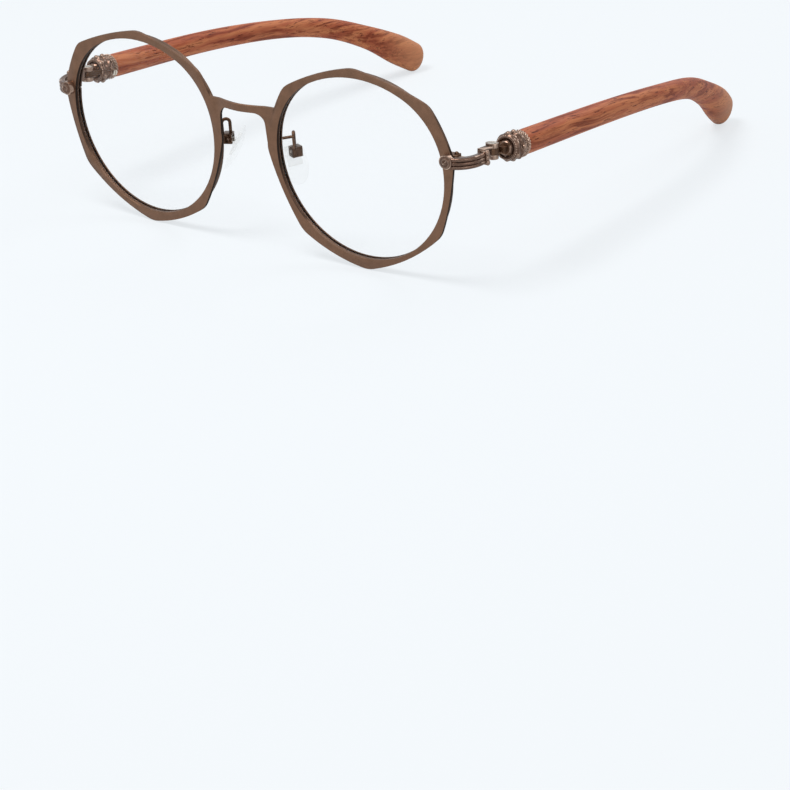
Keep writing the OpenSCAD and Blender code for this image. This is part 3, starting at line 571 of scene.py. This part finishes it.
# Cast ferrule: a mouth, two beads with knobs, and scrolled relief; lengths in mm from the hinge pin
ferrule = {
    "mouth": [(0, 3.62), (0.9, 3.6), (1.2, 3.42), (1.5, 3.38), (1.72, 3.5), (1.86, 3.8), (2.02, 4.0),
              (2.2, 3.98), (2.36, 3.82)],
    "body": [(2.45, 3.8), (2.75, 3.8), (2.95, 4.2), (3.3, 4.55), (3.42, 4.95), (3.3, 5.35), (3.08, 5.7),
             (3.05, 6.3), (3.2, 6.75), (3.42, 7.2), (3.25, 7.65), (3.05, 8.0), (3.02, 8.6), (2.95, 8.95)],
    "rear": [(2.9, 9.0), (0.85, 9.0), (0, 9.0)],
    "sides": 120, "stepsEach": 5,
    # Each knob's place along, angle in degrees and radius
    "knobs": [(4.95, 90, 0.8), (4.95, 205, 0.7), (4.95, 330, 0.7),
              (7.2, 90, 0.8), (7.2, 0, 0.8), (7.2, 270, 0.8)],
    "knobOut": 3.15, "knobFlat": 0.85, "knobSegments": 20, "knobRings": 14,
    "reliefMm": 0.26, "from": 4.3, "to": 8.7, "fade": 0.5, "scrollShare": 0.75, "rippleShare": 0.25,
    "screwAt": (-2.1, 8.15, -0.8), "bossR": 0.85, "bossIn": -0.2, "bossOut": 1.2, "bossBevelIn": 0.15,
    "bossBevelR": 0.12, "bossSides": 28,
    "beads": [
        {"along": 4.22, "radius": 2.92, "count": 30, "length": 0.42, "rise": 0.3, "width": 0.34, "slant": 0},
        {"along": 8.45, "radius": 3.0, "count": 34, "length": 0.44, "rise": 0.34, "width": 0.36, "slant": 0},
    ],
}


# Waves round the sleeve and along it that bend each other, as a height in mm
def scrollRelief(angle, along):
    fade = ferrule["fade"]
    edge = max(0.0, min(1.0, (along - ferrule["from"]) / fade, (ferrule["to"] - along) / fade))
    swirl = math.sin(4 * angle + 1.7 * math.sin(1.9 * along + 2 * angle))
    leaf = math.sin(2.6 * along + 1.4 * math.sin(5 * angle))
    ripple = math.cos(9 * angle + 3 * along)
    height = ferrule["scrollShare"] * swirl * leaf + ferrule["rippleShare"] * ripple
    return ferrule["reliefMm"] * edge * height


def buildFerrule(name, side):
    space = templeSpace(side)
    mesh = bmesh.new()
    body = finer(ferrule["body"], ferrule["stepsEach"])
    lathe(mesh, space, ferrule["mouth"] + body + ferrule["rear"], ferrule["sides"], scrollRelief)
    for along, degrees, radius in ferrule["knobs"]:
        angle = math.radians(degrees)
        at = Vector((ferrule["knobOut"] * math.cos(angle), along, ferrule["knobOut"] * math.sin(angle)))
        knob = shift(*at) @ Matrix.Diagonal((1, ferrule["knobFlat"], 1, 1))
        bmesh.ops.create_uvsphere(mesh, u_segments=ferrule["knobSegments"], v_segments=ferrule["knobRings"],
                                  radius=radius, matrix=space @ knob)
    # The boss round the ferrule's screw
    radius, out = ferrule["bossR"], ferrule["bossOut"]
    profile = [(0, ferrule["bossIn"]), (radius, ferrule["bossIn"]), (radius, out - ferrule["bossBevelIn"]),
               (radius - ferrule["bossBevelR"], out), (0, out)]
    lathe(mesh, space @ shift(*ferrule["screwAt"]) @ turn("Z", 90), profile, ferrule["bossSides"])
    for beads in ferrule["beads"]:
        mesh.from_mesh(lumpsRound(space, beads))
    bmesh.ops.recalc_face_normals(mesh, faces=mesh.faces)
    piece = newPiece("castFerrule_" + name, mesh, castBronze, "temple_" + name,
                     ["ferrule_" + name])
    smoothByAngle(piece, smoothUnder["cast"])


# Rope ring: twisted strands round a plain core; joinWithin is in metres
rope = {
    "strands": {"along": 9.5, "radius": 3.12, "count": 26, "length": 1.35, "rise": 0.62, "width": 0.5,
                "slant": 42},
    "core": [(0.85, 9.04), (2.95, 9.04), (3.12, 9.2), (3.12, 9.8), (2.95, 9.96), (0.85, 9.96)],
    "sides": 72, "joinWithin": 2e-7,
}


def buildRope(name, side):
    space = templeSpace(side)
    mesh = bmesh.new()
    lathe(mesh, space, rope["core"] + rope["core"][:1], rope["sides"])
    mesh.from_mesh(lumpsRound(space, rope["strands"]))
    bmesh.ops.remove_doubles(mesh, verts=mesh.verts, dist=rope["joinWithin"])
    bmesh.ops.recalc_face_normals(mesh, faces=mesh.faces)
    piece = newPiece("ropeRing_" + name, mesh, castBronze, "temple_" + name, ["rope_ring_" + name])
    smoothByAngle(piece, smoothUnder["cast"])


for name, side in sides.items():
    buildFerrule(name, side)
    buildRope(name, side)
print("ferrules and rope rings made")

# Nose pads: soft domed ovals; sizes in mm, places as in the part's drawing
# The powers edge and flat shape a pad's section, and taper narrows its upper end
pad = {
    "boxX": 10.9, "boxY": 5.2, "boxZ": -0.75, "splay": 24, "lean": 27, "pin": -0.3, "back": -1.95,
    "sink": 1.7, "high": 13.2, "wide": 7.4, "thick": 1.9, "domeR": 26, "edge": 0.42, "flat": 0.7,
    "taper": 0.07, "rings": 20, "sides": 64,
}


def buildPad(name, side):
    space = standing(side) @ shift(pad["boxX"], pad["boxY"], pad["boxZ"]) @ turn("Z", -pad["splay"])
    space = space @ shift(pad["pin"], 0, 0) @ turn("Y", -pad["lean"]) @ shift(-pad["pin"], 0, 0)
    space = space @ shift(pad["back"], 0, -pad["sink"])
    mesh = bmesh.new()
    loops = []
    for i in range(pad["rings"] + 1):
        tilt = math.pi * (i / pad["rings"] - 0.5)
        share = (1 + signedPower(math.sin(tilt), pad["flat"])) / 2
        size = max(math.cos(tilt), 0) ** pad["edge"] if 0 < i < pad["rings"] else 0
        loop = []
        for j in range(pad["sides"] if size else 1):
            angle = 2 * math.pi * j / pad["sides"]
            y = pad["wide"] / 2 * size * math.sin(angle) * (1 - pad["taper"] * math.cos(angle))
            z = pad["high"] / 2 * size * math.cos(angle)
            deep = pad["thick"] - (y * y + z * z) / (2 * pad["domeR"])
            loop.append(mesh.verts.new(space @ Vector((-share * deep, y, z))))
        loops.append(loop)
    stitch(mesh, loops)
    bmesh.ops.recalc_face_normals(mesh, faces=mesh.faces)
    newPiece("nosePad_" + name, mesh, silicone, "nose_pad_" + name, ["nose_pad_" + name])


for name, side in sides.items():
    buildPad(name, side)
print("nose pads made")

# Metal pieces keep the solids' shapes, with their sharp edges broken: name, finish, slot, bevel in metres
metalEdges = {
    "front_plate": ("stampedFront", bronze, "bronze", 0.0001),
    "eyewire": ("groovedRim", darkBronze, "dark_bronze", 0.0001),
    "rim_lock": ("rimLock", darkBronze, "dark_bronze", 0.00015),
    "end_piece": ("castEndPiece", castBronze, "bronze", 0.00014),
    "hinge_leaf": ("hingeLeaf", darkBronze, "dark_bronze", 0.0001),
    "pad_box": ("padBox", boxBronze, "dark_bronze", 0.0003),
    "pad_arm": ("padArm", darkBronze, "dark_bronze", 0.00003),
}
# Cast beads that stand up along the pair of collars, in mm
collar = {"x": 33.0, "y": 6.5, "z": 6.0, "step": 1.22, "radius": 0.72, "stretch": (0.8, 0.9, 1, 1),
          "segments": 20, "rings": 12}
# The cast head's low dome, in mm, closed at a point behind its front
# Its scroll turns by spiral radians from the middle to the edge
head = {"x": 26.1, "z": 6.4, "front": -1.25, "radius": 1.68, "dome": 0.42, "scroll": 0.13, "spiral": 9,
        "root": 0.3, "rings": 14, "sides": 56}


def addDome(mesh, side):
    space = rimSpace(side) @ shift(head["x"], 0, head["z"])
    loops = []
    for i in range(head["rings"] + 1):
        share = i / head["rings"]
        out = head["radius"] * share
        loop = []
        for j in range(head["sides"] if i else 1):
            angle = 2 * math.pi * j / head["sides"]
            scroll = head["scroll"] * math.cos(angle + head["spiral"] * share) * share * (1 - share) * 4
            rise = head["dome"] * (1 - share ** 3) + scroll
            point = Vector((out * math.cos(angle), head["front"] - rise, out * math.sin(angle)))
            loop.append(mesh.verts.new(space @ point))
        loops.append(loop)
    root = mesh.verts.new(space @ Vector((0, head["front"] + head["root"], 0)))
    stitch(mesh, loops + [[root]])


def addCollarBeads(mesh, side):
    for k in (-1, 0, 1):
        at = shift(collar["x"], collar["y"], collar["z"] + k * collar["step"])
        bead = rimSpace(side) @ at @ Matrix.Diagonal(collar["stretch"])
        bmesh.ops.create_uvsphere(mesh, u_segments=collar["segments"], v_segments=collar["rings"],
                                  radius=collar["radius"], matrix=bead)


def finishMetal(part, suffix, body, side=1):
    pieceName, material, slotName, width = metalEdges[part]
    piece = softened(part + suffix, pieceName + suffix, material, body, width)
    if part == "end_piece":
        mesh = bmesh.new()
        addDome(mesh, side)
        addCollarBeads(mesh, side)
        bmesh.ops.recalc_face_normals(mesh, faces=mesh.faces)
        mesh.from_mesh(piece.data)
        mesh.to_mesh(piece.data)
        mesh.free()
        smoothByAngle(piece, smoothUnder["endPiece"])


finishMetal("front_plate", "", "front")
for name, side in sides.items():
    for part in ("eyewire", "rim_lock", "end_piece", "pad_box", "pad_arm"):
        finishMetal(part, "_" + name, "front", side)
    finishMetal("hinge_leaf", "_" + name, "temple_" + name)
print("metal pieces made")

# Solids that are shown as they are, by the start of their names
cadFinish = {
    "rim_lock_screws": darkBronze, "hinge_screws": steel, "pad_screws": steel, "ferrule_screw": steel,
    "core_wire": steel, "lens": lensClear, "pad_core": padPlastic,
}
for node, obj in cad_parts.items():
    for start, material in cadFinish.items():
        if node.startswith(start):
            dress(obj, material)

# Camera at the photograph's viewing angle, fitted to its upper view; lengths in mm, clips in metres
view = {"azimuth": 38.49, "elevation": 25.27, "roll": -4.13, "across": -36.6, "up": 62.7, "distance": 651.9,
        "focalPixels": 2618.7, "framePixels": 790, "fitZ": 1.2, "sensor": 36,
        "clipStart": 0.05, "clipEnd": 20}


def setCamera():
    az, el, roll = (math.radians(view[k]) for k in ("azimuth", "elevation", "roll"))
    back = Vector((math.sin(az) * math.cos(el), -math.cos(az) * math.cos(el), math.sin(el)))
    right = Vector((math.cos(az), math.sin(az), 0))
    up = back.cross(right)
    right, up = (math.cos(roll) * right + math.sin(roll) * up, -math.sin(roll) * right + math.cos(roll) * up)
    pose = Matrix((right, up, back)).transposed().to_4x4()
    fitted = Vector((0, 0, view["fitZ"]))
    pose.translation = -view["across"] * right - view["up"] * up + view["distance"] * back + fitted
    camera = bpy.data.cameras.new("photoCamera")
    camera.sensor_width = view["sensor"]
    camera.sensor_fit = "HORIZONTAL"
    camera.lens = view["sensor"] * view["focalPixels"] / view["framePixels"]
    camera.clip_start = view["clipStart"]
    camera.clip_end = view["clipEnd"]
    obj = bpy.data.objects.new("photoCamera", camera)
    bpy.context.scene.collection.objects.link(obj)
    placed = standing(1) @ pose
    obj.matrix_world = Matrix.LocRotScale(placed.to_translation(), placed.to_quaternion(), (1, 1, 1))
    bpy.context.scene.camera = obj


setCamera()
print("camera set")

# Studio: pale floor, soft lamps, and a world that is pale to the camera; lengths in metres
studio = {
    "background": "#f5f9fc", "worldLight": "#eef3f8", "worldStrength": 0.55,
    "floor": "#dce0e3", "floorSize": 3.0, "floorZ": -0.0002, "floorKeep": 0.72,
    # Past the object's shadow the floor fades into the background, so no horizon shows
    "fadeFrom": 0.16, "fadeTo": 0.55,
    "aim": (0, 0, 0.02),
}


# Rays that see the pale background: from the camera, off polished metal and through clear pieces
def seenRays(tree):
    path = add(tree, "ShaderNodeLightPath")
    direct = maths(tree, "MAXIMUM", {},
                   {0: path.outputs["Is Camera Ray"], 1: path.outputs["Is Transmission Ray"]})
    return maths(tree, "MAXIMUM", {}, {0: direct, 1: path.outputs["Is Glossy Ray"]})


def setWorld():
    world = bpy.data.worlds.new("studioWorld")
    bpy.context.scene.world = world
    world.use_nodes = True
    tree = world.node_tree
    tree.nodes.clear()
    pale = add(tree, "ShaderNodeBackground", values={"Color": colour(studio["background"]), "Strength": 1.0})
    light = add(tree, "ShaderNodeBackground", values={"Color": colour(studio["worldLight"]),
                                                      "Strength": studio["worldStrength"]})
    links = {0: seenRays(tree), 1: light.outputs[0], 2: pale.outputs[0]}
    both = add(tree, "ShaderNodeMixShader", links=links)
    add(tree, "ShaderNodeOutputWorld", links={"Surface": both.outputs[0]})


# Matte to lamps and bounced light, and partly the background's own colour to the rays that see it
def floorMaterial():
    made, tree = newMaterial("paleStudioFloor")
    matte = add(tree, "ShaderNodeBsdfDiffuse", values={"Color": colour(studio["floor"])})
    glow = add(tree, "ShaderNodeEmission", values={"Color": colour(studio["background"]), "Strength": 1.0})
    coord = add(tree, "ShaderNodeTexCoord")
    away = add(tree, "ShaderNodeVectorMath", {"operation": "LENGTH"}, {}, {0: coord.outputs["Object"]})
    fade = add(tree, "ShaderNodeMapRange", {"interpolation_type": "SMOOTHSTEP"},
               {"From Min": studio["fadeFrom"], "From Max": studio["fadeTo"], "To Min": studio["floorKeep"]},
               {"Value": away.outputs["Value"]})
    keep = maths(tree, "MULTIPLY", {}, {0: seenRays(tree), 1: fade.outputs[0]})
    links = {0: keep, 1: matte.outputs[0], 2: glow.outputs[0]}
    finishShader(tree, add(tree, "ShaderNodeMixShader", links=links))
    return made


def setFloor():
    mesh = bmesh.new()
    bmesh.ops.create_grid(mesh, x_segments=1, y_segments=1, size=studio["floorSize"])
    data = bpy.data.meshes.new("studioFloor")
    mesh.to_mesh(data)
    mesh.free()
    floor = bpy.data.objects.new("studioFloor", data)
    bpy.context.scene.collection.objects.link(floor)
    floor.location = (0, 0, studio["floorZ"])
    data.materials.append(floorMaterial())


bpy.context.scene.view_settings.view_transform = "Standard"
setWorld()
setFloor()

# Round soft lamps that face the object: place and size in metres, power in watts
lamps = {
    "key": {"at": (-0.18, -0.3, 0.9), "size": 0.45, "power": 6.0},
    "fill": {"at": (0.75, -0.45, 0.45), "size": 0.6, "power": 1.5},
    "back": {"at": (0.1, 0.7, 0.6), "size": 0.6, "power": 2.4},
}
for name, lamp in lamps.items():
    light = bpy.data.lights.new(name + "Lamp", "AREA")
    light.shape = "DISK"
    light.size = lamp["size"]
    light.energy = lamp["power"]
    obj = bpy.data.objects.new(name + "Lamp", light)
    bpy.context.scene.collection.objects.link(obj)
    obj.location = lamp["at"]
    obj.rotation_euler = (Vector(studio["aim"]) - Vector(lamp["at"])).to_track_quat("-Z", "Y").to_euler()
print("studio set")
